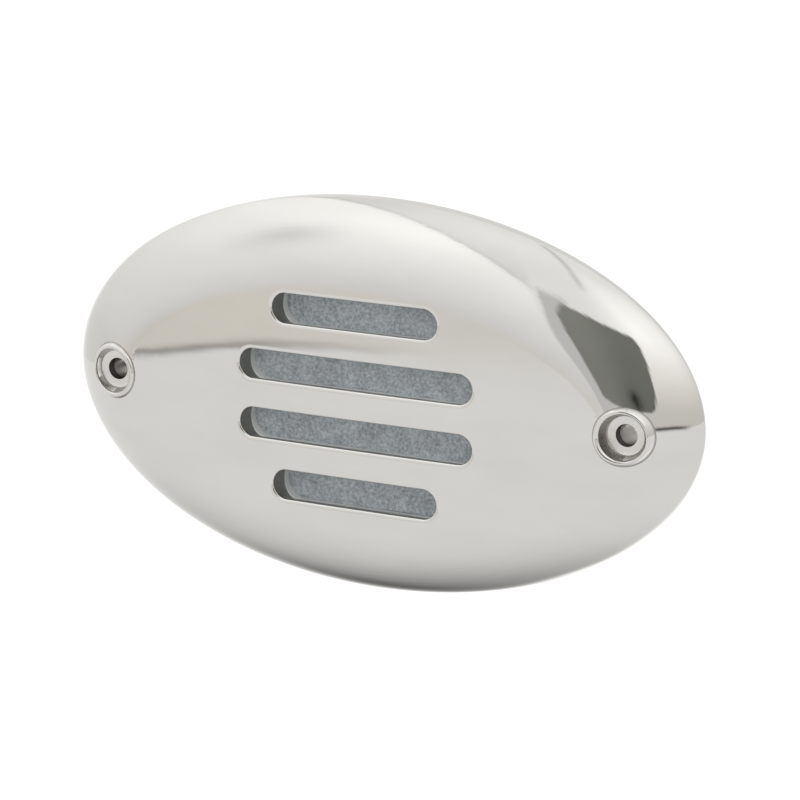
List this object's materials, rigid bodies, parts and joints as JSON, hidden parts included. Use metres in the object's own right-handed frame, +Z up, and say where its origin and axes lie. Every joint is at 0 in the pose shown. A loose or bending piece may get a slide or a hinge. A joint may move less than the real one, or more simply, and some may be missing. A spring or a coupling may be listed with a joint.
{
  "type": "air filter",
  "caption": "Oval panel-mounted air filter: polished domed cover with stadium slots over felt, a pleated cassette in a rear housing, and a round hose outlet.",
  "frame": {"origin": "midway between the two mounting screw holes, in the plane of the panel's face", "axes": "+X along the cover's long axis, +Y back through the panel to the outlet, +Z up; the cover's face looks towards -Y"},
  "size_m": [0.14, 0.0558, 0.0804],
  "materials": {
    "polished_steel": "mirror polished cast stainless steel",
    "black_rubber": "matt moulded rubber",
    "grey_plastic": "matt moulded plastic",
    "grey_felt": "mottled needled felt",
    "wire_screen": "plain wire screen",
    "black_plastic": "fine grained moulded plastic",
    "orange_rubber": "cast polyurethane",
    "filter_paper": "pleated filter paper",
    "glue": "hardened glue",
    "steel_screws": "plain stainless steel",
    "outlet_plastic": "satin moulded plastic"
  },
  "bodies": {
    "root": {"front_cover": "polished_steel", "rim_gasket": "black_rubber", "slot_liner": "grey_plastic", "prefilter_cloth": "grey_felt", "insect_screen": "wire_screen", "cassette_frame": "black_plastic", "side_seal": "black_rubber", "potting_seal": "orange_rubber", "pleat_pack": "filter_paper", "spacer_beads": "glue", "rear_screen": "wire_screen", "housing_seal": "black_rubber", "rear_housing": "black_plastic", "housing_screws": "steel_screws", "lock_washers": "steel_screws", "outlet_tube": "outlet_plastic", "outlet_grommet": "black_rubber", "retaining_ring": "steel_screws", "drain_valve": "black_rubber"}
  },
  "joints": []
}
